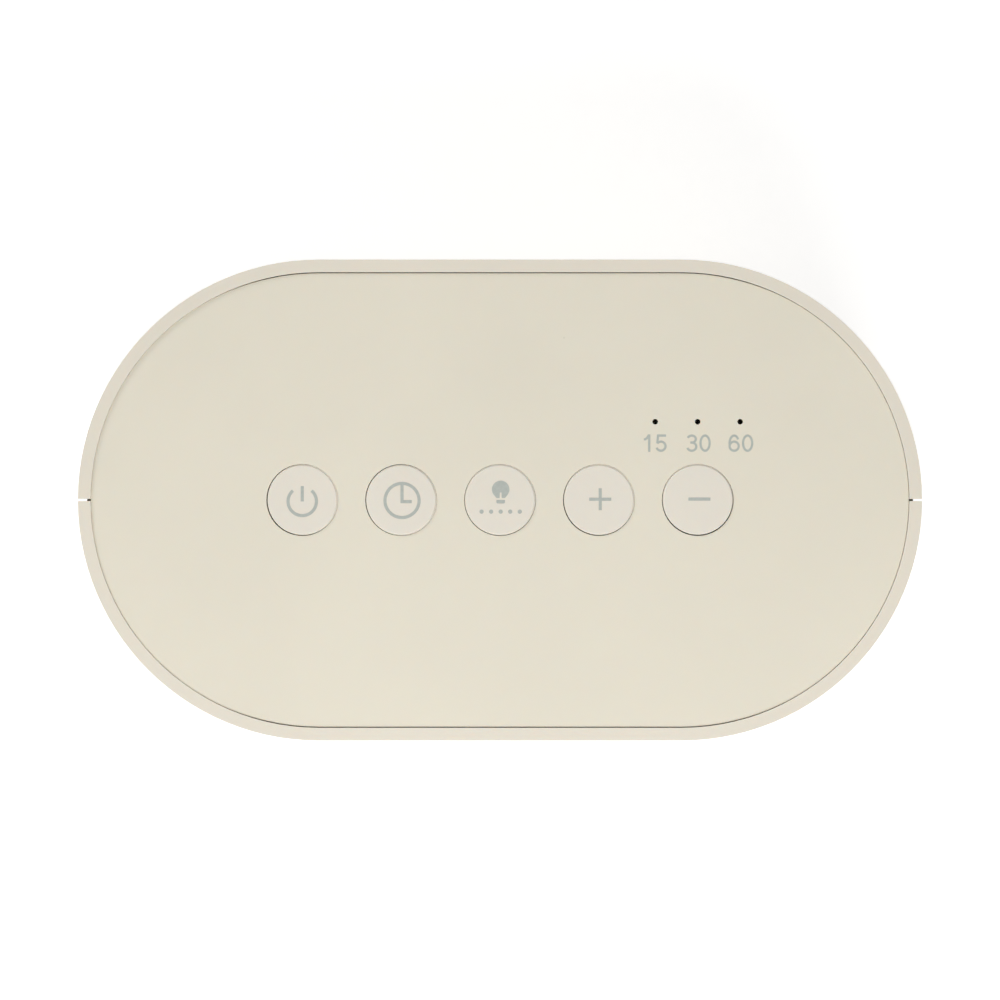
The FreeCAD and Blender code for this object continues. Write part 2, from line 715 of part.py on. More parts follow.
# The speaker, made on its own axis: +Z runs back from the front of its frame

def speaker_body(label):
    body = new_body(label)
    body.Placement = FreeCAD.Placement(FreeCAD.Vector(), FreeCAD.Rotation(FreeCAD.Vector(1, 0, 0), -90))
    place_body(body, "0", SPEAKER_FRONT, SPEAKER_LEVEL)
    return body


def make_cone():
    """A many-sided dish, open to the front."""
    body = speaker_body("speaker_cone")
    front = "(surround_setback + surround_thickness)"
    rim = new_sketch(body, "XY", front)
    add_even_polygon(rim, "0", "0", CONE_RADIUS, CONE_SIDES)
    pad(body, rim, "cone_depth")
    hollow = new_sketch(body, "XY", front)
    add_even_polygon(hollow, "0", "0", "(%s - cone_thickness)" % CONE_RADIUS, CONE_SIDES)
    pocket(body, hollow, "cone_depth - cone_thickness", forward=True)


def make_speaker():
    frame = speaker_body("speaker_frame")
    block = new_sketch(frame, "XY")
    add_rectangle(block, "0", "0", SPEAKER_SIDE, SPEAKER_SIDE)
    pad(frame, block, "frame_depth")
    opening = new_sketch(frame, "XY")
    add_circle(opening, "0", "0", CONE_OPENING)
    pocket(frame, opening, "frame_depth - frame_wall", forward=True)
    magnet = speaker_body("speaker_magnet")
    disc = new_sketch(magnet, "XY", "frame_depth")
    add_circle(disc, "0", "0", "magnet_radius")
    pad(magnet, disc, "magnet_depth")
    surround = speaker_body("speaker_surround")
    edge = new_sketch(surround, "XY", "surround_setback")
    add_even_polygon(edge, "0", "0", "(%s - surround_gap)" % CONE_OPENING, CONE_SIDES)
    add_even_polygon(edge, "0", "0", "(%s - surround_lap)" % CONE_RADIUS, CONE_SIDES)
    pad(surround, edge, "surround_thickness")
    make_cone()
    # the foam ring in front of the frame, and the cloth behind the slots
    gasket = speaker_body("speaker_gasket")
    ring = new_sketch(gasket, "XY")
    add_rectangle(ring, "0", "0", SPEAKER_SIDE, SPEAKER_SIDE)
    add_rectangle(ring, "0", "0", "(2 * %s)" % CONE_OPENING, "(2 * %s)" % CONE_OPENING)
    pad(gasket, ring, "gasket_thickness", down=True)
    make_plate("grille_cloth", "XZ", INNER_RADIUS, "0", SPEAKER_LEVEL, "(%s + cloth_margin)" % SLOT_LENGTH,
               "(%d * slot_pitch + slot_width + 2 * cloth_margin)" % (SLOT_COUNT - 1), "cloth_thickness",
               down=True)


# The main board and what stands on it

def make_power_jack():
    """A barrel jack: a block on the board, a round nose in the rear wall, and a bore."""
    body = new_body("power_jack")
    block = new_sketch(body, "XZ", "-" + INNER_RADIUS)
    add_rectangle(block, "0", MAIN_TOP + " + jack_height / 2", "jack_width", "jack_height")
    pad(body, block, "jack_length")
    nose = new_sketch(body, "XZ", "-" + INNER_RADIUS)
    add_circle(nose, "0", JACK_HEIGHT, "jack_nose_radius")
    pad(body, nose, "wall", down=True)
    bore = new_sketch(body, "XZ", "-" + END_RADIUS)
    add_circle(bore, "0", JACK_HEIGHT, "jack_bore_radius")
    pocket(body, bore, "jack_bore_depth", forward=True)


def make_jack_pin():
    """The metal pin that stands on the floor of the jack's bore."""
    body = new_body("jack_pin")
    pin = new_sketch(body, "XZ", "jack_bore_depth - " + END_RADIUS)
    add_circle(pin, "0", JACK_HEIGHT, "jack_pin_radius")
    pad(body, pin, "jack_pin_length", down=True)


def make_main_board():
    make_plate("main_board", "XY", MAIN_UNDER, "0", MAIN_MIDDLE, MAIN_WIDTH, "main_board_depth",
               "board_thickness")
    make_plate("sound_chip", "XY", MAIN_TOP, "0", MAIN_MIDDLE + " - chip_forward", "chip_length",
               "chip_width", "chip_height")
    sockets = new_body("board_sockets")
    blocks = new_sketch(sockets, "XY", MAIN_TOP)
    for number in (-1, 0, 1):
        across = "%d * %s" % (number, SOCKET_SPACING)
        add_rectangle(blocks, across, SOCKET_PLACE, "(%s - socket_gap)" % SOCKET_SPACING, "socket_depth")
    pad(sockets, blocks, "socket_height")
    capacitor = new_body("capacitor")
    can = new_sketch(capacitor, "XY", MAIN_TOP)
    add_circle(can, "(%s / 2 - capacitor_inset)" % MAIN_WIDTH, "(%s + capacitor_back)" % MAIN_MIDDLE,
               "capacitor_radius")
    pad(capacitor, can, "capacitor_height")


# Leads that stay inside the case

def make_control_cable():
    """A flat lead from the middle socket up to the control board, bowed towards the rear."""
    body = new_body("control_cable")
    rise = "(%s - %s)" % (CONTROL_UNDER, SOCKET_TOP)
    bow_radius = "(%s * %s / (8 * ribbon_bow) + ribbon_bow / 2)" % (rise, rise)
    middle = "(%s / 2 + %s / 2)" % (CONTROL_UNDER, SOCKET_TOP)
    centre = "(%s + ribbon_bow - %s)" % (SOCKET_PLACE, bow_radius)
    strip = new_sketch(body, "YZ", "-ribbon_width / 2")
    half = math.degrees(math.asin(size(rise) / 2 / size(bow_radius)))
    inner = add_arc(strip, centre, middle, bow_radius, -half, half)
    outer = add_arc(strip, centre, middle, bow_radius + " + ribbon_thickness", -half, half)
    for curve in (inner, outer):
        hold(strip, "DistanceY", -1, 1, curve, 1, SOCKET_TOP)
        hold(strip, "DistanceY", -1, 1, curve, 2, CONTROL_UNDER)
    for end in (1, 2):
        line = strip.addGeometry(Part.LineSegment(strip.getPoint(inner, end), strip.getPoint(outer, end)))
        strip.addConstraint(Sketcher.Constraint("Coincident", line, 1, inner, end))
        strip.addConstraint(Sketcher.Constraint("Coincident", line, 2, outer, end))
    pad(body, strip, "ribbon_width")


def make_bent_lead(label, side, start, level, width, thick):
    """A flat lead that runs straight back at one level and bends down into its socket."""
    body = new_body(label)
    strip = new_sketch(body, "YZ", "%d * %s - %s / 2" % (side, SOCKET_SPACING, width))
    centre = (SOCKET_PLACE + " - ribbon_bend", level + " - ribbon_bend")
    outer = add_arc(strip, centre[0], centre[1], "ribbon_bend", 0, 90)
    inner = add_arc(strip, centre[0], centre[1], "ribbon_bend - " + thick, 0, 90)
    for curve in (outer, inner):
        strip.addConstraint(Sketcher.Constraint("Horizontal", curve, 1, curve, 3))
        strip.addConstraint(Sketcher.Constraint("Vertical", curve, 2, curve, 3))
    ends = [
        (outer, 2, start, level),
        (inner, 2, start, "%s - %s" % (level, thick)),
        (outer, 1, SOCKET_PLACE, SOCKET_TOP),
        (inner, 1, "%s - %s" % (SOCKET_PLACE, thick), SOCKET_TOP),
    ]
    runs = []
    for curve, end, across, up in ends:
        far = FreeCAD.Vector(size(across), size(up), 0)
        line = strip.addGeometry(Part.LineSegment(strip.getPoint(curve, end), far))
        strip.addConstraint(Sketcher.Constraint("Coincident", line, 1, curve, end))
        hold_point(strip, line, 2, across, up)
        runs.append(line)
    for first, second in ((runs[0], runs[1]), (runs[2], runs[3])):
        line = strip.addGeometry(Part.LineSegment(strip.getPoint(first, 2), strip.getPoint(second, 2)))
        strip.addConstraint(Sketcher.Constraint("Coincident", line, 1, first, 2))
        strip.addConstraint(Sketcher.Constraint("Coincident", line, 2, second, 2))
    pad(body, strip, width)


def make_leads():
    make_control_cable()
    make_bent_lead("display_cable", 1, DISPLAY_BACK, CABLE_LEVEL, "ribbon_width", "ribbon_thickness")
    # the speaker's lead passes over the magnet's top, so that it clears it wherever its socket is
    above_magnet = "(%s + magnet_radius + lead_clearance + lead_thickness)" % SPEAKER_LEVEL
    make_bent_lead("speaker_lead", -1, SPEAKER_BACK, above_magnet, "lead_width", "lead_thickness")


make_front_shell()
make_rear_shell()
make_top_panel()
make_base_plate()
make_base_screws()
make_feet()
make_control_board()
make_switches()
make_timer_lights()
for number, button in enumerate(BUTTONS):
    make_button(number, button)
    make_plunger(number, button)
make_display()
make_speaker()
make_main_board()
make_power_jack()
make_jack_pin()
make_leads()
doc.recompute()

# Every feature must be sound, and every piece a valid solid, before anything is written
for item in doc.Objects:
    if "Invalid" in item.State or "Error" in item.State:
        raise ValueError("%s has failed in %s" % (item.Name, [owner.Label for owner in item.InList]))
pieces = [item for item in doc.Objects if item.TypeId == "PartDesign::Body"]
for piece in pieces:
    if piece.Shape.isNull() or not piece.Shape.isValid() or not piece.Shape.Solids:
        raise ValueError("%s is not a valid solid" % piece.Label)

os.makedirs("parts", exist_ok=True)
for piece in pieces:
    piece.Shape.exportStep(os.path.join("parts", piece.Label + ".step"))
    print("%-22s %d solids, %.1f mm3" % (piece.Label, len(piece.Shape.Solids), piece.Shape.Volume))
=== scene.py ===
import math

import bmesh
import bpy
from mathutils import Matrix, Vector


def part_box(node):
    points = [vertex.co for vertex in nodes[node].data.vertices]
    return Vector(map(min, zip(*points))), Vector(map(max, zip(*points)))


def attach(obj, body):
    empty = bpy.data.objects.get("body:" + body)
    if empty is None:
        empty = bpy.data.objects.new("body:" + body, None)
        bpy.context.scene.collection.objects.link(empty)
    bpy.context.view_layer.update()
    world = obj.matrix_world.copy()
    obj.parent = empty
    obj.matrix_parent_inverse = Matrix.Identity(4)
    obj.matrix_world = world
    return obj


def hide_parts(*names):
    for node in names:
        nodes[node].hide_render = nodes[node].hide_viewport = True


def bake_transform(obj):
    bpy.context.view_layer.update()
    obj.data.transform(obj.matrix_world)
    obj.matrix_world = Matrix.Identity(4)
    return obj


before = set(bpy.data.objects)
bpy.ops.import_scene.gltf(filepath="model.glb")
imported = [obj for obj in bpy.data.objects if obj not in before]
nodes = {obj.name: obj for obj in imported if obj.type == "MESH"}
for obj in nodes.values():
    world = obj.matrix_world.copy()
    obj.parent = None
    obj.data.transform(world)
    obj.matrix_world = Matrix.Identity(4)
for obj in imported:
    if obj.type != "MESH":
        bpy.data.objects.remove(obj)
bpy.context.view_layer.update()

mm = 0.001
print("frame loaded:", len(nodes), "nodes")


def startMaterial(name):
    material = bpy.data.materials.new(name)
    material.use_nodes = True
    tree = material.node_tree
    place = tree.nodes.new("ShaderNodeTexCoord").outputs["Object"]
    return material, tree, tree.nodes["Principled BSDF"], place


def addNode(tree, kind, **inputs):
    node = tree.nodes.new(kind)
    for name, value in inputs.items():
        node.inputs[name.replace("_", " ")].default_value = value
    return node


def addNoise(tree, place, scale, detail):
    noise = addNode(tree, "ShaderNodeTexNoise", Scale=scale, Detail=detail)
    tree.links.new(place, noise.inputs["Vector"])
    return noise.outputs["Fac"]


def addRange(tree, source, low, high, toLow, toHigh):
    # squeezes a pattern into the numbers that a socket wants
    span = addNode(tree, "ShaderNodeMapRange", From_Min=low, From_Max=high, To_Min=toLow, To_Max=toHigh)
    tree.links.new(source, span.inputs["Value"])
    return span.outputs["Result"]


def addMath(tree, operation, first, second):
    step = tree.nodes.new("ShaderNodeMath")
    step.operation = operation
    tree.links.new(first, step.inputs[0])
    tree.links.new(second, step.inputs[1])
    return step.outputs[0]


def addMix(tree, factor, first, second):
    mix = tree.nodes.new("ShaderNodeMix")
    mix.data_type = "RGBA"
    tree.links.new(factor, mix.inputs[0])
    for socket, colour in ((mix.inputs[6], first), (mix.inputs[7], second)):
        if isinstance(colour, bpy.types.NodeSocket):
            tree.links.new(colour, socket)
        else:
            socket.default_value = (*colour, 1)
    return mix.outputs[2]


def addShaderMix(tree, factor, first, second, output):
    chosen = tree.nodes.new("ShaderNodeMixShader")
    for socket, source in zip(chosen.inputs, (factor, first, second)):
        tree.links.new(source, socket)
    tree.links.new(chosen.outputs[0], output.inputs["Surface"])


def addBump(tree, shader, height, strength, depth, before=None):
    bump = addNode(tree, "ShaderNodeBump", Strength=strength, Distance=depth)
    tree.links.new(height, bump.inputs["Height"])
    if before:
        tree.links.new(before, bump.inputs["Normal"])
    tree.links.new(bump.outputs["Normal"], shader.inputs["Normal"])
    return bump.outputs["Normal"]


def linear(red, green, blue):
    # screen colour, 0 to 255, into the shader's own numbers
    return tuple(((v / 255 + 0.055) / 1.055) ** 2.4 for v in (red, green, blue))


def shade(colour, factor):
    return tuple(min(1.0, v * factor) for v in colour)


noiseSpan = (0.3, 0.7)  # nearly all of a noise pattern's values lie between these


def paintShades(tree, shader, pattern, colour, shades, span=noiseSpan):
    # the pattern takes the base colour from the first to the second shade of one colour
    tone = addRange(tree, pattern, *span, 0.0, 1.0)
    dark, light = shades
    mixed = addMix(tree, tone, shade(colour, dark), shade(colour, light))
    tree.links.new(mixed, shader.inputs["Base Color"])
    return mixed


def varyGloss(tree, shader, pattern, roughness, below, above, span=noiseSpan):
    gloss = addRange(tree, pattern, *span, roughness - below, roughness + above)
    tree.links.new(gloss, shader.inputs["Roughness"])


# satin moulded plastic: soft cloudiness, a fine spark-eroded grain, and a few moulding flecks
mouldedPlastic = {
    "case": {"colour": linear(226, 219, 204), "roughness": 0.46, "grain": 0.35},
    "panel": {"colour": linear(226, 220, 203), "roughness": 0.48, "grain": 0.40},
    "button": {"colour": linear(227, 221, 208), "roughness": 0.42, "grain": 0.25},
    "base": {"colour": linear(222, 215, 201), "roughness": 0.52, "grain": 0.45},
}
# what the four share: scales of the patterns, shades of the colour, and depths in metres
plasticPattern = {
    "cloudScale": 26.0, "cloudSpan": (0.35, 0.65), "cloudShades": (0.985, 1.012),
    "fleckScale": 140.0, "fleckSize": (0.015, 0.03), "fleckShade": 0.72,
    "rareScale": 55.0, "rareSpan": (0.60, 0.66), "rareMost": 0.4,
    "wearScale": 160.0, "wearSpread": 0.05,
    "waveScale": 90.0, "waveStrength": 0.12, "waveDepth": 0.0002,
    "grainScale": 4200.0, "grainDepth": 0.00002,
    "ior": 1.5, "scatter": 0.25, "scatterColours": (0.4, 0.65, 1.0), "scatterDepth": 0.0006,
}


def makeMouldedPlastic(name, settings, s):
    material, tree, shader, place = startMaterial(name)
    colour = settings["colour"]
    cloud = addNoise(tree, place, s["cloudScale"], detail=3.0)
    body = paintShades(tree, shader, cloud, colour, s["cloudShades"], s["cloudSpan"])
    # flecks: small dark points, far apart
    cells = addNode(tree, "ShaderNodeTexVoronoi", Scale=s["fleckScale"])
    tree.links.new(place, cells.inputs["Vector"])
    fleck = addRange(tree, cells.outputs["Distance"], *s["fleckSize"], 1.0, 0.0)
    rare = addNoise(tree, place, s["rareScale"], detail=0.0)
    rareMask = addRange(tree, rare, *s["rareSpan"], 0.0, s["rareMost"])
    spotted = addMix(tree, addMath(tree, "MULTIPLY", fleck, rareMask), body, shade(colour, s["fleckShade"]))
    tree.links.new(spotted, shader.inputs["Base Color"])
    wear = addNoise(tree, place, s["wearScale"], detail=4.0)
    varyGloss(tree, shader, wear, settings["roughness"], s["wearSpread"], s["wearSpread"])
    wave = addNoise(tree, place, s["waveScale"], detail=2.0)
    soft = addBump(tree, shader, wave, s["waveStrength"], s["waveDepth"])
    grain = addNoise(tree, place, s["grainScale"], detail=1.0)
    addBump(tree, shader, grain, settings["grain"], s["grainDepth"], soft)
    shader.inputs["IOR"].default_value = s["ior"]
    # a little light passes through thin edges, blue the furthest; set for the warm gap lines
    shader.inputs["Subsurface Weight"].default_value = s["scatter"]
    shader.inputs["Subsurface Radius"].default_value = s["scatterColours"]
    shader.inputs["Subsurface Scale"].default_value = s["scatterDepth"]
    return material


# darker trim, board and metal finishes: "depth" is how strongly the fine grain shows
trimFinish = {
    "footRubber": {"colour": linear(38, 37, 36), "roughness": 0.78, "grainScale": 2600.0, "depth": 0.5},
    "screwSteel": {"colour": linear(168, 166, 160), "roughness": 0.34, "grainScale": 1800.0, "depth": 0.12,
                   "metal": 1.0},
    "boardMask": {"colour": linear(20, 78, 44), "roughness": 0.32, "grainScale": 900.0, "depth": 0.2},
    "darkMoulding": {"colour": linear(26, 26, 27), "roughness": 0.45, "grainScale": 2200.0, "depth": 0.3},
    "magnetPaint": {"colour": linear(96, 98, 101), "roughness": 0.4, "grainScale": 700.0, "depth": 0.2,
                    "metal": 0.7},
    "conePaper": {"colour": linear(50, 49, 47), "roughness": 0.82, "grainScale": 1500.0, "depth": 0.7},
    "seatFoam": {"colour": linear(34, 34, 35), "roughness": 0.92, "grainScale": 1100.0, "depth": 0.9},
    "socketNylon": {"colour": linear(226, 223, 212), "roughness": 0.4, "grainScale": 1700.0, "depth": 0.15},
    "leadGrey": {"colour": linear(140, 141, 143), "roughness": 0.5, "grainScale": 1300.0, "depth": 0.2},
    "lightResin": {"colour": linear(215, 205, 170), "roughness": 0.2, "grainScale": 1200.0, "depth": 0.1},
    "segmentResin": {"colour": linear(196, 196, 192), "roughness": 0.4, "grainScale": 1400.0, "depth": 0.1},
    "maskPrint": {"colour": linear(14, 14, 15), "roughness": 0.5, "grainScale": 1900.0, "depth": 0.1},
    "pinBrass": {"colour": linear(198, 170, 104), "roughness": 0.24, "grainScale": 1500.0, "depth": 0.08,
                 "metal": 1.0},
}
trimPattern = {"cloudPerGrain": 20, "cloudShades": (0.86, 1.12), "wearSpread": 0.06, "grainDepth": 0.00004}


def makeTrim(name, settings, s):
    material, tree, shader, place = startMaterial(name)
    cloud = addNoise(tree, place, settings["grainScale"] / s["cloudPerGrain"], detail=3.0)
    paintShades(tree, shader, cloud, settings["colour"], s["cloudShades"])
    varyGloss(tree, shader, cloud, settings["roughness"], s["wearSpread"], s["wearSpread"])
    grain = addNoise(tree, place, settings["grainScale"], detail=2.0)
    addBump(tree, shader, grain, settings["depth"], s["grainDepth"])
    shader.inputs["Metallic"].default_value = settings.get("metal", 0.0)
    return material


# woven speaker cloth, by two crossed waves: a wave repeats every 0.314 / waveScale metres
speakerCloth = {"colour": linear(30, 30, 31), "shades": (0.4, 1.6), "waveScale": 110.0, "strength": 0.8,
                "depth": 0.0001, "roughness": 0.9, "sheen": 0.2}


def makeCloth(name, s):
    material, tree, shader, place = startMaterial(name)
    heights = []
    for direction in ("X", "Z"):
        threads = addNode(tree, "ShaderNodeTexWave", Scale=s["waveScale"])
        threads.bands_direction = direction
        threads.wave_profile = "SIN"
        tree.links.new(place, threads.inputs["Vector"])
        heights.append(threads.outputs["Fac"])
    weave = addMath(tree, "MULTIPLY", *heights)
    dark, light = s["shades"]
    woven = addMix(tree, weave, shade(s["colour"], dark), shade(s["colour"], light))
    tree.links.new(woven, shader.inputs["Base Color"])
    addBump(tree, shader, weave, s["strength"], s["depth"])
    shader.inputs["Roughness"].default_value = s["roughness"]
    shader.inputs["Sheen Weight"].default_value = s["sheen"]
    return material


# smoked clear plastic over the display, with light wipe marks
smokedLens = {"tint": linear(168, 168, 172), "shades": (0.94, 1.05), "roughness": 0.06, "clearness": 1.0,
              "wipeScale": 70.0, "wipeSpan": (0.4, 0.75), "wipeSpread": (0.04, 0.08), "ior": 1.49}


def makeLens(name, s):
    material, tree, shader, place = startMaterial(name)
    wipe = addNoise(tree, place, s["wipeScale"], detail=5.0)
    varyGloss(tree, shader, wipe, s["roughness"], *s["wipeSpread"], span=s["wipeSpan"])
    paintShades(tree, shader, wipe, s["tint"], s["shades"])
    shader.inputs["Transmission Weight"].default_value = s["clearness"]
    shader.inputs["IOR"].default_value = s["ior"]
    return material


# pad-printed grey ink, a little uneven where it is thin
printedInk = {"colour": linear(174, 179, 172), "shades": (0.95, 1.06), "roughness": 0.55,
              "patchScale": 1800.0, "strength": 0.15, "depth": 0.00001}


def makeInk(name, s):
    material, tree, shader, place = startMaterial(name)
    patch = addNoise(tree, place, s["patchScale"], detail=3.0)
    paintShades(tree, shader, patch, s["colour"], s["shades"])
    addBump(tree, shader, patch, s["strength"], s["depth"])
    shader.inputs["Roughness"].default_value = s["roughness"]
    return material


finish = {name: makeMouldedPlastic(name + "Plastic", values, plasticPattern)
          for name, values in mouldedPlastic.items()}
finish.update({name: makeTrim(name, values, trimPattern) for name, values in trimFinish.items()})
finish["cloth"] = makeCloth("speakerCloth", speakerCloth)
finish["lens"] = makeLens("smokedLens", smokedLens)
finish["ink"] = makeInk("printedInk", printedInk)
print("materials made:", len(finish))


buttonWords = ["power", "timer", "snooze", "plus", "minus"]

# finish and edge rounding, in mm, for each node
nodeLook = {
    "front_shell": ("case", 0.16),
    "rear_shell": ("case", 0.16),
    "top_panel": ("panel", 0.06),
    "base_plate": ("base", 0.25),
    "rubber_feet": ("footRubber", 0.5),
    "display_lens": ("lens", 0.08),
    "display_module": ("darkMoulding", 0.2),
    "display_board": ("boardMask", 0.0),
    "control_board": ("boardMask", 0.0),
    "main_board": ("boardMask", 0.0),
    "tact_switches": ("darkMoulding", 0.15),
    "timer_lights": ("lightResin", 0.1),
    "speaker_frame": ("darkMoulding", 0.3),
    "speaker_magnet": ("magnetPaint", 0.4),
    "speaker_cone": ("conePaper", 0.2),
    "speaker_gasket": ("seatFoam", 0.3),
    "grille_cloth": ("cloth", 0.0),
    "sound_chip": ("darkMoulding", 0.1),
    "board_sockets": ("socketNylon", 0.2),
    "capacitor": ("darkMoulding", 0.5),
    "power_jack": ("darkMoulding", 0.15),
    "jack_pin": ("pinBrass", 0.25),
    "control_cable": ("leadGrey", 0.15),
    "display_cable": ("leadGrey", 0.15),
    "speaker_lead": ("leadGrey", 0.3),
}
for word in buttonWords:
    nodeLook[word + "_button"] = ("button", 0.20)
    nodeLook[word + "_plunger"] = ("darkMoulding", 0.15)

# points closer than "weld", in mm, become one; angles in degrees
nodeShading = {"weld": 0.002, "flatAngle": 0.6, "edgeAngle": 40, "edgeSteps": 3, "weight": 80}


def dressNode(node, material, rounding, s):
    node.data.materials.clear()
    node.data.materials.append(material)
    for face in node.data.polygons:
        face.use_smooth = True
    weld = node.modifiers.new("weld", "WELD")
    weld.merge_threshold = s["weld"] * mm
    flat = node.modifiers.new("flat faces", "DECIMATE")
    flat.decimate_type = "DISSOLVE"
    flat.angle_limit = math.radians(s["flatAngle"])
    if rounding:
        edge = node.modifiers.new("rounded edge", "BEVEL")
        edge.width = rounding * mm
        edge.segments = s["edgeSteps"]
        edge.limit_method = "ANGLE"
        edge.angle_limit = math.radians(s["edgeAngle"])
        edge.use_clamp_overlap = True
        edge.harden_normals = True
    normals = node.modifiers.new("even shading", "WEIGHTED_NORMAL")
    normals.keep_sharp = True
    normals.weight = s["weight"]


for nodeName, (look, rounding) in nodeLook.items():
    dressNode(nodes[nodeName], finish[look], rounding, nodeShading)
print("nodes dressed:", len(nodeLook))


def ovalPoints(cx, cy, wide, tall, start, stop, steps):
    # degrees, anticlockwise from +X; wide and tall are measured from the middle
    turns = [math.radians(start + (stop - start) * i / steps) for i in range(steps + 1)]
    return [(cx + wide * math.cos(t), cy + tall * math.sin(t)) for t in turns]


def arcPoints(cx, cy, radius, start, stop, steps):
    return ovalPoints(cx, cy, radius, radius, start, stop, steps)


def dotPoints(cx, cy, radius, steps=20):
    return arcPoints(cx, cy, radius, 0, 360, steps)[:-1]


# a stroke's ends join when they are nearer than "meet", and its corner stretches to 1 / "sharpest" at most
strokeLimits = {"meet": 1e-6, "sharpest": 0.35}


def addStroke(mesh, points, width, bottom, top, closed=False):
    # a line of even width along the points, with square corners, as a thin raised strip
    points = [Vector(p) for p in points]
    if closed and (points[0] - points[-1]).length < strokeLimits["meet"]:
        points.pop()
    count = len(points)
    rings = []
    for i, point in enumerate(points):
        before = points[i - 1] if (i or closed) else None
        after = points[(i + 1) % count] if (i < count - 1 or closed) else None
        pairs = ((before, point), (point, after))
        ways = [(b - a).normalized() for a, b in pairs if a is not None and b is not None]
        way = sum(ways, Vector((0, 0))).normalized()
        side = Vector((-way.y, way.x))
        stretch = 1 / max(strokeLimits["sharpest"], side.dot(Vector((-ways[0].y, ways[0].x))))
        reach = side * width / 2 * stretch
        corners = (point - reach, point + reach)
        rings.append([mesh.verts.new((c.x, c.y, z)) for z in (bottom, top) for c in corners])
    last = count if closed else count - 1
    for i in range(last):
        a, b = rings[i], rings[(i + 1) % count]
        for first, second in ((2, 3), (3, 1), (1, 0), (0, 2)):
            mesh.faces.new((a[first], b[first], b[second], a[second]))
    if not closed:
        for ring in (rings[0], rings[-1]):
            mesh.faces.new((ring[0], ring[1], ring[3], ring[2]))


def addPlate(mesh, outline, bottom, top):
    # a filled flat shape
    low = [mesh.verts.new((x, y, bottom)) for x, y in outline]
    high = [mesh.verts.new((x, y, top)) for x, y in outline]
    mesh.faces.new(high)
    mesh.faces.new(low[::-1])
    for i in range(len(outline)):
        j = (i + 1) % len(outline)
        mesh.faces.new((low[i], low[j], high[j], high[i]))


def joinRings(mesh, a, b):
    # a belt of faces between two rings with the same number of points
    for k in range(len(a)):
        j = (k + 1) % len(a)
        mesh.faces.new((a[k], a[j], b[j], b[k]))


def skinRings(mesh, rings):
    # a closed solid through the rings, flat at both ends
    for a, b in zip(rings, rings[1:]):
        joinRings(mesh, a, b)
    mesh.faces.new(rings[0][::-1])
    mesh.faces.new(rings[-1])


def addObject(name, data):
    thing = bpy.data.objects.new(name, data)
    bpy.context.scene.collection.objects.link(thing)
    return thing


def addMeshObject(name, mesh, material):
    data = bpy.data.meshes.new(name)
    mesh.to_mesh(data)
    mesh.free()
    data.materials.append(material)
    return addObject(name, data)


def placePiece(name, mesh, material, body):
    bmesh.ops.recalc_face_normals(mesh, faces=mesh.faces)
    piece = addMeshObject(name, mesh, material)
    if body:
        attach(piece, body)
    return piece


# all the signs are in mm from the middle of their own cap; where two strokes cross, "step" parts their faces
signInk = {"thickness": 0.02, "sink": 0.01, "step": 0.003, "line": 0.56}

powerSign = {"centre": (0.0, -0.25), "radius": 2.56, "gap": 41, "barTop": 2.50, "barFoot": -0.25, "steps": 56}
timerSign = {"centre": (0.16, -0.09), "radius": 3.07, "handFoot": -0.2, "handReach": 1.75, "steps": 64}
snoozeSign = {"bulbCentre": (0.12, 1.91), "bulbRadius": 1.57, "bulbTurn": -32, "bulbSteps": 26,
              "neckHalf": 0.77, "neckFoot": 0.36, "filament": 0.40, "filamentTop": 1.36,
              "filamentTaper": 0.75, "capHalf": 0.77, "capTop": 0.0, "capFoot": -0.62, "capCorner": 0.28,
              "cornerSteps": 6,
              "dots": 5, "dotPitch": 1.72, "dotLevel": -2.1, "dotRadius": 0.38}
plusSign = {"centre": (0.24, 0.14), "half": 1.98}
minusSign = {"centre": (0.3, 0.16), "half": 1.98}


def signHeights(word):
    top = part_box(word + "_button")[1].z / mm
    return top - signInk["sink"], top + signInk["thickness"]


def inMetres(mesh, middle):
    for vert in mesh.verts:
        vert.co = Vector((vert.co.x * mm + middle, vert.co.y * mm, vert.co.z * mm))


def finishSign(word, mesh):
    low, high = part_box(word + "_button")
    inMetres(mesh, (low.x + high.x) / 2)
    piece = placePiece(word + "_sign", mesh, finish["ink"], word + "_key")
    print("printed:", piece.name)


def makePowerSign(s):
    mesh = bmesh.new()
    low, high = signHeights("power")
    cx, cy = s["centre"]
    ring = arcPoints(cx, cy, s["radius"], 90 + s["gap"], 450 - s["gap"], s["steps"])
    addStroke(mesh, ring, signInk["line"], low, high)
    addStroke(mesh, [(cx, s["barTop"]), (cx, s["barFoot"])], signInk["line"], low, high)
    finishSign("power", mesh)


def makeTimerSign(s):
    mesh = bmesh.new()
    low, high = signHeights("timer")
    cx, cy = s["centre"]
    ring = arcPoints(cx, cy, s["radius"], 0, 360, s["steps"])
    addStroke(mesh, ring, signInk["line"], low, high, closed=True)
    hands = [(cx, cy + s["radius"]), (cx, cy + s["handFoot"]), (cx + s["handReach"], cy + s["handFoot"])]
    addStroke(mesh, hands, signInk["line"], low - signInk["step"], high + signInk["step"])
    finishSign("timer", mesh)


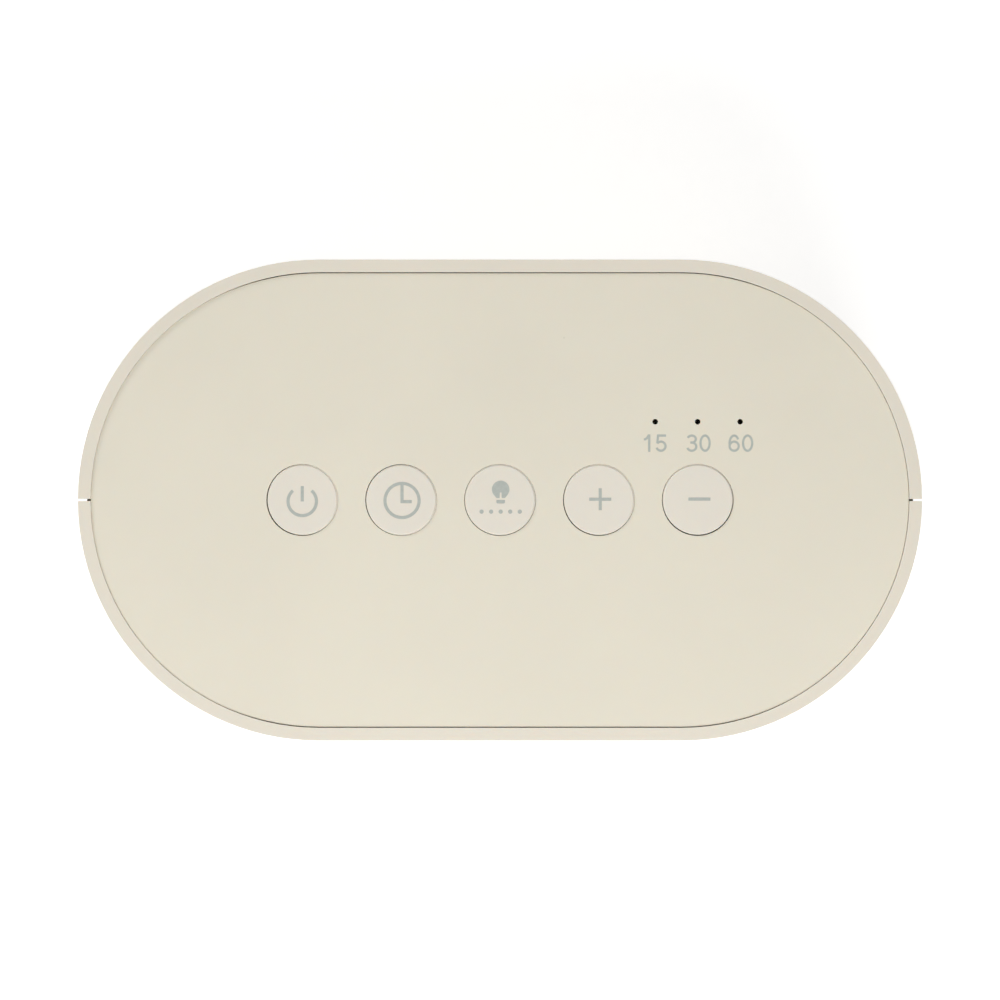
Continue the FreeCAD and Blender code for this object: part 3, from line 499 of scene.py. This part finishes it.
def makeSnoozeSign(s):
    mesh = bmesh.new()
    low, high = signHeights("snooze")
    cx, cy = s["bulbCentre"]
    half, slit = s["neckHalf"], s["filament"] / 2
    # right side from the crown down to the neck, then the slit, then the left side as its mirror
    right = arcPoints(0, cy, s["bulbRadius"], 90, s["bulbTurn"], s["bulbSteps"]) + [(half, s["neckFoot"])]
    notch = [(slit, s["neckFoot"]), (slit * s["filamentTaper"], s["filamentTop"])]
    side = right + notch
    outline = side + [(-x, y) for x, y in side[:0:-1]]
    addPlate(mesh, [(cx + x, y) for x, y in outline], low, high)
    corner, steps = s["capCorner"], s["cornerSteps"]
    capLeft = arcPoints(-s["capHalf"] + corner, s["capFoot"] + corner, corner, 180, 270, steps)
    capRight = arcPoints(s["capHalf"] - corner, s["capFoot"] + corner, corner, 270, 360, steps)
    cap = [(-s["capHalf"], s["capTop"])] + capLeft + capRight + [(s["capHalf"], s["capTop"])]
    addPlate(mesh, [(cx + x, y) for x, y in cap], low, high)
    # a plain row of dots under the lamp
    for i in range(s["dots"]):
        x = cx + (i - (s["dots"] - 1) / 2) * s["dotPitch"]
        addPlate(mesh, dotPoints(x, s["dotLevel"], s["dotRadius"]), low, high)
    finishSign("snooze", mesh)


def makeBarSign(word, s, upright):
    mesh = bmesh.new()
    low, high = signHeights(word)
    cx, cy = s["centre"]
    addStroke(mesh, [(cx - s["half"], cy), (cx + s["half"], cy)], signInk["line"], low, high)
    if upright:
        ends = [(cx, cy - s["half"]), (cx, cy + s["half"])]
        addStroke(mesh, ends, signInk["line"], low - signInk["step"], high + signInk["step"])
    finishSign(word, mesh)


makePowerSign(powerSign)
makeTimerSign(timerSign)
makeSnoozeSign(snoozeSign)
makeBarSign("plus", plusSign, True)
makeBarSign("minus", minusSign, False)


# each cap sits a little to one side of its hole. A thin edge round the cap narrows the even gap by "closes",
# and "aside" is how much wider it then is at "openAt" degrees, and narrower on the far side; in mm
capEdge = {
    "holeGap": 0.2, "hidden": 0.01, "least": 0.02, "under": 0.02, "sunk": 0.08, "deep": 1.2, "chamfer": 0.03,
    "steps": 120,
    "power": {"closes": 0.10, "aside": 0.10, "openAt": 205},
    "timer": {"closes": 0.112, "aside": 0.06, "openAt": 170},
    "snooze": {"closes": 0.125, "aside": 0.045, "openAt": 240},
    "plus": {"closes": 0.115, "aside": 0.085, "openAt": 228},
    "minus": {"closes": 0.08, "aside": 0.095, "openAt": 268},
}


def addEdgeBand(mesh, inner, outer, top, deep, chamfer, closed):
    # a band between two outlines, with a small chamfer along the outer top edge
    rings = []
    for (ax, ay), (bx, by) in zip(inner, outer):
        way = Vector((bx - ax, by - ay))
        back = way.normalized() * min(chamfer, way.length / 2)
        corners = ((ax, ay, top), (bx - back.x, by - back.y, top), (bx, by, top - back.length),
                   (bx, by, top - deep), (ax, ay, top - deep))
        rings.append([mesh.verts.new(c) for c in corners])
    following = rings[1:] + rings[:1] if closed else rings[1:]
    for a, b in zip(rings, following):
        for k in range(len(a)):
            j = (k + 1) % len(a)
            mesh.faces.new((a[k], b[k], b[j], a[j]))
    if not closed:
        for ring in (rings[0], rings[-1]):
            mesh.faces.new(ring)


def makeCapEdges(s):
    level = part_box("top_panel")[1].z / mm - s["under"]
    for word in buttonWords:
        low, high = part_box(word + "_button")
        radius = (high.x - low.x) / 2 / mm
        root = radius - s["sunk"]
        fit = s[word]
        inner, outer = [], []
        for k in range(s["steps"]):
            turn = 2 * math.pi * k / s["steps"]
            gap = s["holeGap"] - fit["closes"] + fit["aside"] * math.cos(turn - math.radians(fit["openAt"]))
            reach = radius + max(-s["hidden"], s["holeGap"] - max(gap, s["least"]))
            inner.append((root * math.cos(turn), root * math.sin(turn)))
            outer.append((reach * math.cos(turn), reach * math.sin(turn)))
        mesh = bmesh.new()
        addEdgeBand(mesh, inner, outer, level, s["deep"], s["chamfer"], True)
        inMetres(mesh, (low.x + high.x) / 2)
        placePiece(word + "_cap_edge", mesh, finish["button"], word + "_key")
    print("cap edges made:", len(buttonWords))


makeCapEdges(capEdge)


# the panel sits tight at its ends: a thin edge round both half circles, "left" and "right" wide, in mm.
# It is whole up to "full" degrees from the middle of the end, and has thinned out to nothing at "gone"
panelEdge = {"left": 0.148, "right": 0.10, "hidden": 0.01, "full": 56, "gone": 84, "under": 0.015,
             "sunk": 0.1, "deep": 0.8, "chamfer": 0.03, "steps": 72}


def makePanelEdges(s):
    low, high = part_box("top_panel")
    radius = (high.y - low.y) / 2 / mm
    centre = high.x / mm - radius
    root = radius - s["sunk"]
    for side, name in ((-1, "left"), (1, "right")):
        inner, outer = [], []
        for k in range(s["steps"] + 1):
            turn = -90 + 180 * k / s["steps"]
            share = min(1.0, max(0.0, (s["gone"] - abs(turn)) / (s["gone"] - s["full"])))
            smooth = share * share * (3 - 2 * share)  # sets in and ends softly
            reach = radius - s["hidden"] + (s["hidden"] + s[name]) * smooth
            c, n = side * math.cos(math.radians(turn)), math.sin(math.radians(turn))
            inner.append((side * centre + c * root, n * root))
            outer.append((side * centre + c * reach, n * reach))
        mesh = bmesh.new()
        addEdgeBand(mesh, inner, outer, high.z / mm - s["under"], s["deep"], s["chamfer"], False)
        inMetres(mesh, 0)
        placePiece("panel_edge_" + name, mesh, finish["panel"], "case")
    print("panel edges made")


makePanelEdges(panelEdge)


# minutes beside the timer lights: centre lines of plain digits, in mm, each digit by its left edge
timerNumbers = {"line": 0.40, "tall": 3.13, "wide": 2.04, "foot": 8.67,
                "lefts": {"15": [25.72, 27.95], "30": [33.50, 35.90], "60": [41.14, 43.56]}}
# the digits' own shapes: lengths in mm, shares of the half width or height, and angles in degrees
digitShape = {
    "oneAside": 0.12, "flagTip": (0.92, 0.98), "flagBend": (0.40, 0.66), "flagEnd": (0.4, 0.6),
    "threeShares": (0.46, 0.54), "threeNarrow": 0.90, "threeStart": 160, "threeStop": -162,
    "threeWaist": 0.30, "bowlShare": 0.60, "fiveBowl": (142, -162), "fiveShort": 0.10,
    "fiveLean": 0.30, "sixBack": (194, 30),
    "arcSteps": 28, "zeroSteps": 40, "ringSteps": 36,
}


def digitPaths(digit, wide, tall, line, s):
    # the outer edge of each digit fills wide by tall, and its foot is at 0
    e = line / 2
    w, t = wide / 2 - e, tall / 2 - e
    cx, cy = wide / 2, tall / 2
    if digit == "0":
        return [(ovalPoints(cx, cy, w, t, 0, 360, s["zeroSteps"]), True)]
    if digit == "1":
        stem = cx + s["oneAside"]
        flag = [(stem - x, tall - y) for x, y in (s["flagTip"], s["flagBend"])]
        flag.append((stem - e * s["flagEnd"][0], tall - e * s["flagEnd"][1]))
        return [([(stem, tall), (stem, 0)], False), (flag, False)]
    if digit == "3":
        high, low = (t * share for share in s["threeShares"])
        upperWide = w * s["threeNarrow"]
        upper = ovalPoints(cx, tall - e - high, upperWide, high, s["threeStart"], -90, s["arcSteps"])
        lower = ovalPoints(cx, e + low, w, low, 90, s["threeStop"], s["arcSteps"])
        middle = (cx - w * s["threeWaist"], upper[-1][1])
        return [(upper + [middle], False), ([middle] + lower, False)]
    bowl = t * s["bowlShare"]
    if digit == "5":
        curve = ovalPoints(cx, e + bowl, w, bowl, *s["fiveBowl"], s["arcSteps"])
        roof = [(wide - s["fiveShort"], tall - e), (e + s["fiveLean"], tall - e), curve[0]]
        return [(roof, False), (curve, False)]
    ring = ovalPoints(cx, e + bowl, w, bowl, 0, 360, s["ringSteps"])
    back = ovalPoints(cx, cy, w, t, *s["sixBack"], s["arcSteps"])
    return [(ring, True), (back, False)]


def makeTimerNumbers(s):
    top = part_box("top_panel")[1].z / mm
    for number, lefts in s["lefts"].items():
        mesh = bmesh.new()
        for digit, left in zip(number, lefts):
            strokes = digitPaths(digit, s["wide"], s["tall"], s["line"], digitShape)
            for layer, (points, closed) in enumerate(strokes):
                path = [(left + x, s["foot"] + y) for x, y in points]
                step = layer * signInk["step"]
                low, high = top - signInk["sink"] - step, top + signInk["thickness"] + step
                addStroke(mesh, path, s["line"], low, high, closed)
        inMetres(mesh, 0)
        placePiece("minutes_" + number, mesh, finish["ink"], "case")
    print("minutes printed:", ", ".join(s["lefts"]))


makeTimerNumbers(timerNumbers)


# black print behind the lens, open over the digits, in mm
lensMask = {"corner": 2.6, "inset": 0.4, "openWide": 38.2, "openTall": 11.6, "openCorner": 0.8,
            "thickness": 0.02, "setback": 0.03}


def roundedCorners(wide, tall, corner, steps=8):
    points = []
    for turn, (side, level) in enumerate(((1, 1), (-1, 1), (-1, -1), (1, -1))):
        cx, cy = side * (wide / 2 - corner), level * (tall / 2 - corner)
        points += arcPoints(cx, cy, corner, 90 * turn, 90 * turn + 90, steps)
    return points


def standUp(mesh, level):
    # a flat shape drawn from above becomes one seen from the front, with its height along -Y
    for vert in mesh.verts:
        x, y, z = vert.co
        vert.co = Vector((x * mm, -z * mm, y * mm + level))


def makeLensMask(s):
    low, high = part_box("display_lens")
    wide, tall = (high.x - low.x) / mm - 2 * s["inset"], (high.z - low.z) / mm - 2 * s["inset"]
    back = -high.y / mm + s["setback"]
    outer = roundedCorners(wide, tall, s["corner"])
    inner = roundedCorners(s["openWide"], s["openTall"], s["openCorner"])
    mesh = bmesh.new()
    rings = []
    for z in (back, back + s["thickness"]):
        for points in (outer, inner):
            rings.append([mesh.verts.new((x, y, z)) for x, y in points])
    count = len(outer)
    for i in range(count):
        j = (i + 1) % count
        for first, second in ((0, 1), (1, 3), (3, 2), (2, 0)):
            mesh.faces.new((rings[first][i], rings[first][j], rings[second][j], rings[second][i]))
    standUp(mesh, (low.z + high.z) / 2)
    placePiece("lens_mask", mesh, finish["maskPrint"], "case")
    print("lens mask printed")


makeLensMask(lensMask)


# unlit seven-bar digits and a colon on the face of the display block, in mm
clockDigits = {"places": (-14.4, -5.9, 5.9, 14.4), "wide": 4.5, "tall": 8.8, "bar": 1.1, "break": 0.12,
               "lean": 0.09, "proud": 0.12, "sink": 0.05, "colonRadius": 0.55, "colonRise": 1.7}


def barOutline(start, end, width, gap):
    # a bar with pointed ends between two corners of a digit
    start, end = Vector(start), Vector(end)
    along = (end - start).normalized()
    side = Vector((-along.y, along.x)) * width / 2
    a, b = start + along * gap, end - along * gap
    return [a, a + along * width / 2 - side, b - along * width / 2 - side, b, b - along * width / 2 + side,
            a + along * width / 2 + side]


def makeClockDigits(s):
    low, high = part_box("display_module")
    front = -low.y / mm
    mesh = bmesh.new()
    x, y = s["wide"] / 2, s["tall"] / 2
    corners = {"topLeft": (-x, y), "topRight": (x, y), "left": (-x, 0), "right": (x, 0),
               "footLeft": (-x, -y), "footRight": (x, -y)}
    bars = [("topLeft", "topRight"), ("left", "right"), ("footLeft", "footRight"), ("topLeft", "left"),
            ("topRight", "right"), ("left", "footLeft"), ("right", "footRight")]
    for place in s["places"]:
        for first, second in bars:
            outline = barOutline(corners[first], corners[second], s["bar"], s["break"])
            leaned = [(place + px + py * s["lean"], py) for px, py in outline]
            addPlate(mesh, leaned, front - s["sink"], front + s["proud"])
    for level in (-s["colonRise"], s["colonRise"]):
        dot = dotPoints(level * s["lean"], level, s["colonRadius"])
        addPlate(mesh, dot, front - s["sink"], front + s["proud"])
    standUp(mesh, (low.z + high.z) / 2)
    placePiece("clock_digits", mesh, finish["segmentResin"], "case")
    print("clock digits made:", len(s["places"]))


makeClockDigits(clockDigits)


# base screws with rounded heads and cross recesses, in mm; "crest" and "valley" are shares of the pitch
baseScrew = {
    "headRadius": 2.8, "headTall": 1.4, "edge": 0.5, "edgeSteps": 4, "sides": 32,
    "shankRadius": 1.3, "plainShank": 0.5, "tipRadius": 0.35,
    "threadRadius": 1.45, "threadCut": 0.35, "pitch": 1.1, "crest": 0.5, "valley": 0.98,
    "threadFrom": 0.6, "threadSpare": 1.2,
    "crossLong": 3.1, "crossWide": 0.62, "crossDeep": 0.85, "crossTaper": 0.7, "crossAbove": 0.2,
}


def screwProfile(s, foot, top):
    # radius and height pairs, from the head's face up to the tip
    turns = [math.pi / 2 / s["edgeSteps"] * k for k in range(s["edgeSteps"] + 1)]
    profile = [(s["headRadius"] - s["edge"] * (1 - math.sin(t)), foot + s["edge"] * (1 - math.cos(t)))
               for t in turns]
    shoulder = foot + s["headTall"]
    profile += [(s["headRadius"], shoulder), (s["shankRadius"], shoulder),
                (s["shankRadius"], shoulder + s["plainShank"])]
    root = s["shankRadius"] - s["threadCut"]
    for k in range(int((top - shoulder - s["threadSpare"]) / s["pitch"])):
        z = shoulder + s["threadFrom"] + k * s["pitch"]
        crest, valley = z + s["pitch"] * s["crest"], z + s["pitch"] * s["valley"]
        profile += [(root, z), (s["threadRadius"], crest), (root, valley)]
    return profile + [(s["tipRadius"], top)]


def addTurned(mesh, profile, sides, place):
    # spins the profile about the upright line through place
    x, y = place
    turns = [2 * math.pi * k / sides for k in range(sides)]
    rings = []
    for radius, z in profile:
        rings.append([mesh.verts.new((x + radius * math.cos(t), y + radius * math.sin(t), z)) for t in turns])
    skinRings(mesh, rings)


def crossOutline(long, wide):
    a, b = long / 2, wide / 2
    quarter = [(a, -b), (a, b), (b, b)]
    points = []
    for turn in range(4):
        c, s = round(math.cos(math.pi / 2 * turn)), round(math.sin(math.pi / 2 * turn))
        points += [(x * c - y * s, x * s + y * c) for x, y in quarter]
    return points


def addCross(mesh, s, place, foot):
    # what is cut out of a head: it starts a little under the face and tapers inwards
    levels = ((1.0, foot - s["crossAbove"]), (1.0, foot), (s["crossTaper"], foot + s["crossDeep"]))
    rings = []
    for factor, z in levels:
        points = crossOutline(s["crossLong"] * factor, s["crossWide"])
        rings.append([mesh.verts.new((place[0] + x, place[1] + y, z)) for x, y in points])
    skinRings(mesh, rings)


def makeBaseScrews(s):
    low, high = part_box("base_screws")
    foot, top = low.z / mm, high.z / mm
    across, along = high.x / mm - s["headRadius"], high.y / mm - s["headRadius"]
    screws, crosses = bmesh.new(), bmesh.new()
    profile = screwProfile(s, foot, top)
    for x in (-across, across):
        for y in (-along, along):
            addTurned(screws, profile, s["sides"], (x, y))
            addCross(crosses, s, (x, y), foot)
    for mesh in (screws, crosses):
        inMetres(mesh, 0)
    cutter = placePiece("crosses", crosses, finish["screwSteel"], "case")
    screw = placePiece("base_screw_set", screws, finish["screwSteel"], "case")
    recess = screw.modifiers.new("cross recess", "BOOLEAN")
    recess.object = cutter
    recess.operation = "DIFFERENCE"
    recess.solver = "EXACT"
    bpy.context.view_layer.update()
    cut = bpy.data.meshes.new_from_object(screw.evaluated_get(bpy.context.evaluated_depsgraph_get()))
    screw.modifiers.clear()
    screw.data = cut
    bpy.data.objects.remove(cutter)
    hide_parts("base_screws")
    print("base screws made:", len(cut.polygons), "faces")


makeBaseScrews(baseScrew)


# rubber roll between the speaker's frame and its cone, in mm: radii, and depths from the front of the seat
speakerRoll = {"outer": 16.85, "land": 0.35, "coneRim": 14.3, "inner": 13.4, "front": 0.62, "seat": 0.35,
               "bulge": 0.25, "thickness": 0.24, "steps": 14, "sides": 96}


def rollLine(s):
    # radius and depth pairs along the middle of the rubber, from the frame to the cone
    start = s["outer"] - s["land"]
    line = [(s["outer"], -s["front"]), (start, -s["front"])]
    for k in range(1, s["steps"]):
        t = k / s["steps"]
        rise = s["bulge"] * math.sin(math.pi * t)
        line.append((start + (s["coneRim"] - start) * t, -s["front"] + (s["front"] + s["seat"]) * t - rise))
    return line + [(s["coneRim"], s["seat"]), (s["inner"], s["seat"])]


def makeSpeakerRoll(s):
    low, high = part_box("speaker_surround")
    x, z = (low.x + high.x) / 2, (low.z + high.z) / 2
    line = rollLine(s)
    half = s["thickness"] / 2
    outline = [(radius, depth - half) for radius, depth in line]
    outline += [(radius, depth + half) for radius, depth in reversed(line)]
    turns = [2 * math.pi * k / s["sides"] for k in range(s["sides"])]
    mesh = bmesh.new()
    rings = []
    for radius, depth in outline:
        y = low.y + depth * mm
        rings.append([mesh.verts.new((x + radius * mm * math.cos(t), y, z + radius * mm * math.sin(t)))
                      for t in turns])
    for a, b in zip(rings, rings[1:] + rings[:1]):
        joinRings(mesh, a, b)
    for face in mesh.faces:
        face.smooth = True
    piece = placePiece("speaker_roll", mesh, finish["footRubber"], None)
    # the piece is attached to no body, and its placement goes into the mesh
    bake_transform(piece)
    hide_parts("speaker_surround")
    print("speaker roll made:", len(rings), "rings")


makeSpeakerRoll(speakerRoll)


# lengths in metres; the floor's lift to white grows from "nearLift" to "farLift" along "liftSpan"
studio = {"floorSize": 8.0, "floorGrey": 0.86, "fibreScale": 400.0, "fibreShades": (0.99, 1.01),
          "floorRoughness": 0.9, "floorShine": 0.2, "liftSpan": (0.15, 0.9), "nearLift": 0.47,
          "farLift": 0.70, "worldStrength": 0.375}
lamps = {
    "frontLamp": {"place": (0.02, -0.36, 0.46), "size": 0.45, "watts": 2.0},
    "leftEdgeLamp": {"place": (-0.55, 0.50, 0.33), "size": 0.25, "watts": 2.3},
    "rearLamp": {"place": (0.50, 0.50, 0.50), "size": 0.40, "watts": 0.4},
}
lampTarget = (0, 0, 0.05)
photoCamera = {"height": 1.2, "seenWidth": 0.1800, "sensor": 36, "near": 0.01, "far": 20}
white = (1, 1, 1, 1)


def showsWhite(tree):
    # 1 for what the camera, a mirror or clear plastic looks at, 0 for the light that falls on things
    ray = tree.nodes.new("ShaderNodeLightPath")
    seen = ray.outputs["Is Camera Ray"]
    for name in ("Is Glossy Ray", "Is Transmission Ray"):
        seen = addMath(tree, "MAXIMUM", seen, ray.outputs[name])
    return seen


def makeFloor(s):
    material, tree, shader, place = startMaterial("floorPaper")
    fibre = addNoise(tree, place, s["fibreScale"], detail=3.0)
    paintShades(tree, shader, fibre, (s["floorGrey"],) * 3, s["fibreShades"])
    shader.inputs["Roughness"].default_value = s["floorRoughness"]
    shader.inputs["Specular IOR Level"].default_value = s["floorShine"]
    # the paper is lifted to white where it is looked at, and the object's shadow stays on it;
    # far away, where the lamps don't reach, it is lifted more
    distance = tree.nodes.new("ShaderNodeVectorMath")
    distance.operation = "LENGTH"
    tree.links.new(place, distance.inputs[0])
    lift = addNode(tree, "ShaderNodeEmission", Color=white)
    amount = addRange(tree, distance.outputs["Value"], *s["liftSpan"], s["nearLift"], s["farLift"])
    tree.links.new(amount, lift.inputs["Strength"])
    added = tree.nodes.new("ShaderNodeAddShader")
    tree.links.new(shader.outputs[0], added.inputs[0])
    tree.links.new(lift.outputs[0], added.inputs[1])
    addShaderMix(tree, showsWhite(tree), shader.outputs[0], added.outputs[0], tree.nodes["Material Output"])
    mesh = bmesh.new()
    bmesh.ops.create_grid(mesh, x_segments=2, y_segments=2, size=s["floorSize"] / 2)
    floor = addMeshObject("floor", mesh, material)


def makeWorld(s):
    world = bpy.data.worlds.new("studio")
    bpy.context.scene.world = world
    world.use_nodes = True
    tree = world.node_tree
    back = tree.nodes["Background"]
    back.inputs["Color"].default_value = white
    back.inputs["Strength"].default_value = s["worldStrength"]
    bright = addNode(tree, "ShaderNodeBackground", Color=white, Strength=1.0)
    addShaderMix(tree, showsWhite(tree), back.outputs[0], bright.outputs[0], tree.nodes["World Output"])


def makeLamp(name, s):
    lamp = bpy.data.lights.new(name, "AREA")
    lamp.shape = "DISK"
    lamp.size = s["size"]
    lamp.energy = s["watts"]
    holder = addObject(name, lamp)
    holder.location = s["place"]
    way = Vector(lampTarget) - Vector(s["place"])
    holder.rotation_euler = way.to_track_quat("-Z", "Y").to_euler()


def makeCamera(s):
    camera = bpy.data.cameras.new("photoCamera")
    camera.sensor_width = s["sensor"]
    camera.lens = camera.sensor_width * s["height"] / s["seenWidth"]
    camera.clip_start, camera.clip_end = s["near"], s["far"]
    holder = addObject("photoCamera", camera)
    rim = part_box("front_shell")[1].z
    holder.location = (0, 0, rim + s["height"])
    bpy.context.scene.camera = holder


makeFloor(studio)
makeWorld(studio)
for lampName, values in lamps.items():
    makeLamp(lampName, values)
makeCamera(photoCamera)
bpy.context.scene.view_settings.view_transform = "Standard"
print("studio set")
